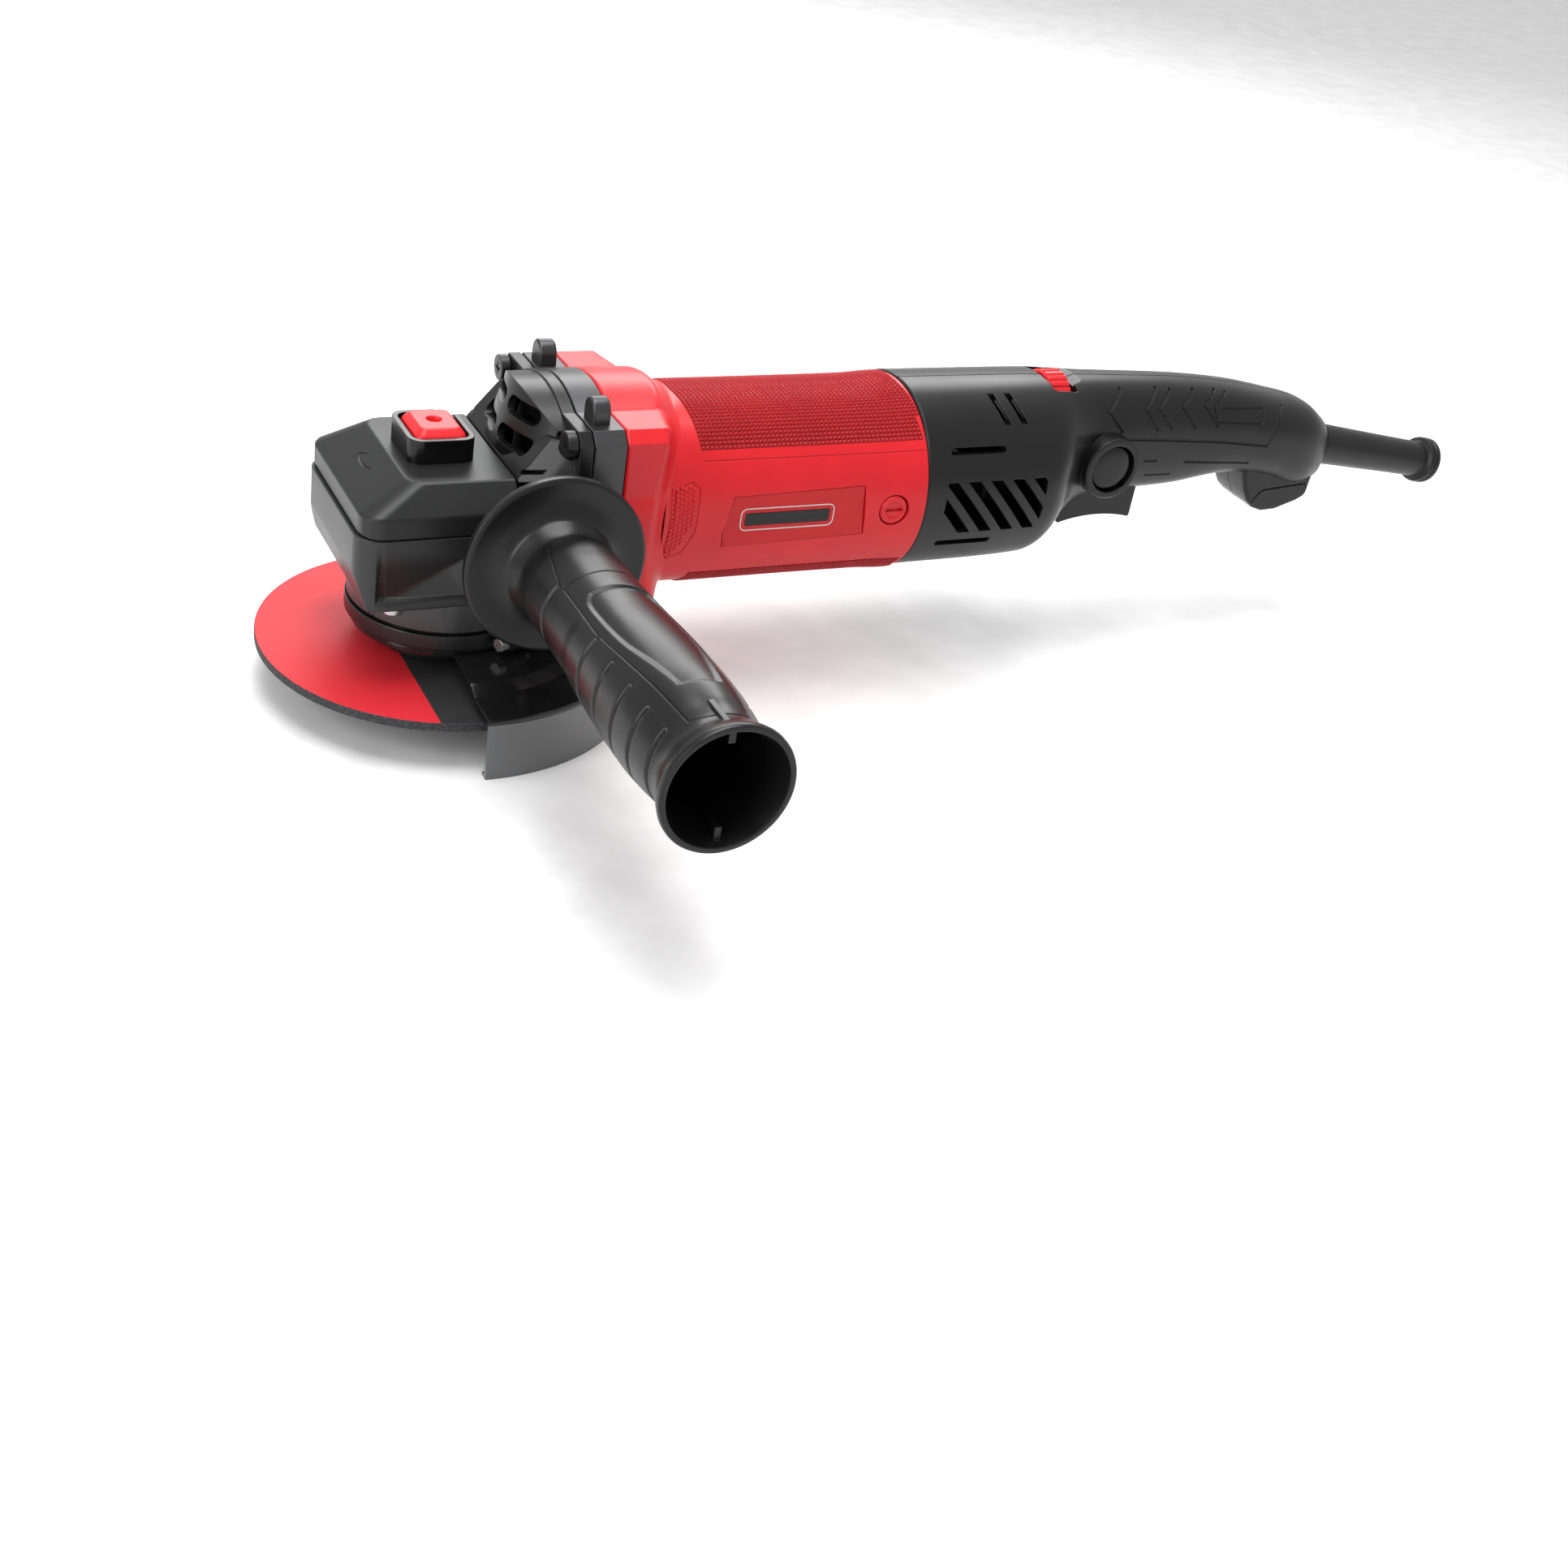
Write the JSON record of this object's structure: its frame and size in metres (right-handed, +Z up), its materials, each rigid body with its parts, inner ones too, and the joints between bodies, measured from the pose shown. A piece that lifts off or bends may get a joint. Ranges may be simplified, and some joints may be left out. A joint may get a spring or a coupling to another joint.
{
  "type": "angle grinder",
  "caption": "Corded angle grinder with a red motor housing, black rear trigger handle, side handle, gear head, guard and a flat grinding disc.",
  "frame": {"origin": "centre of the spindle's lower end face", "axes": "+X along the motor axis to the rear handle, -Y along the side handle, +Z up along the spindle away from the disc"},
  "size_m": [0.4705, 0.2392, 0.106],
  "materials": {
    "black_plastic": "satin black moulded nylon with a fine grain",
    "red_plastic": "bright red moulded plastic, soft gloss",
    "head_paint": "anthracite paint on a die casting",
    "aluminium": "bare die-cast aluminium, satin",
    "steel": "ground or plated steel",
    "black_steel": "blackened steel",
    "guard_steel": "pressed sheet steel in glossy black paint",
    "copper": "copper winding wire and brass holders",
    "carbon": "pressed carbon",
    "rubber": "black rubber",
    "disc_abrasive": "resin-bonded abrasive with a red and dark grey paper face",
    "label_red": "blank recessed red label"
  },
  "bodies": {
    "machine": {"gear_case": "head_paint", "gear_case_cover": "head_paint", "vent_cover": "black_plastic", "bearing_plate": "aluminium", "motor_housing": "red_plastic", "label_plate": "label_red", "rear_housing_left": "black_plastic", "rear_housing_right": "black_plastic", "cable_boot": "rubber", "brush_cap_left": "red_plastic", "brush_cap_right": "red_plastic", "brush_holder_left": "copper", "brush_holder_right": "copper", "carbon_brush_left": "carbon", "carbon_brush_right": "carbon", "stator_core": "steel", "upper_field_coil": "copper", "lower_field_coil": "copper", "front_bearing": "steel", "rear_bearing": "steel", "spindle_bearing": "steel", "needle_bearing": "steel", "bearing_cap": "aluminium", "cap_screw_1": "steel", "cap_screw_2": "steel", "cap_screw_3": "steel", "cap_screw_4": "steel", "head_screw_1": "black_steel", "head_screw_2": "black_steel", "head_screw_3": "black_steel", "head_screw_4": "black_steel", "side_handle_grip": "black_plastic", "side_handle_stud": "steel", "speed_controller": "black_plastic", "switch_body": "black_plastic", "trigger_pin": "steel"},
    "spindle_set": {"spindle": "steel", "crown_gear": "steel", "inner_flange": "black_steel", "outer_nut": "black_steel", "grinding_disc": "disc_abrasive"},
    "armature": {"armature_shaft": "steel", "pinion": "steel", "armature_core": "steel", "front_winding": "copper", "rear_winding": "copper", "commutator": "copper", "cooling_fan": "black_plastic"},
    "guard_set": {"guard": "guard_steel", "guard_clamp_band": "black_steel", "guard_clamp_screw": "steel"},
    "lock_button": {"spindle_lock_button": "red_plastic", "spindle_lock_pin": "steel"},
    "trigger_lever": {"trigger": "black_plastic"},
    "lock_on": {"lock_on_button": "black_plastic"},
    "dial": {"speed_dial": "red_plastic"}
  },
  "joints": [
    {"name": "spindle_spin", "type": "hinge", "parent": "machine", "child": "spindle_set", "pos_m": [0, 0, 0], "axis": [0, 0, 1], "continuous": true},
    {"name": "armature_spin", "type": "hinge", "parent": "machine", "child": "armature", "pos_m": [0, 0, 0.0615], "axis": [1, 0, 0], "continuous": true},
    {"name": "guard_turn", "type": "hinge", "parent": "machine", "child": "guard_set", "pos_m": [0, 0, 0], "axis": [0, 0, 1], "range_deg": [-75, 75]},
    {"name": "spindle_lock_press", "type": "slide", "parent": "machine", "child": "lock_button", "axis": [0, 0, -1], "range_m": [0, 0.004], "stiffness_N_per_m": 1500, "springref_m": -0.001},
    {"name": "trigger_pull", "type": "hinge", "parent": "machine", "child": "trigger_lever", "pos_m": [0.226, 0, 0.056], "axis": [0, -1, 0], "range_deg": [0, 7], "stiffness_Nm_per_rad": 2, "springref_deg": -3.44},
    {"name": "lock_on_press", "type": "slide", "parent": "machine", "child": "lock_on", "axis": [0, 1, 0], "range_m": [0, 0.003], "stiffness_N_per_m": 800, "springref_m": -0.001},
    {"name": "speed_dial_turn", "type": "hinge", "parent": "machine", "child": "dial", "pos_m": [0.218, 0, 0.0848], "axis": [1, 0, 0], "range_deg": [-130, 130]}
  ],
  "couplings": [
    {"joint": "armature_spin", "follows": "spindle_spin", "ratio": 3}
  ]
}
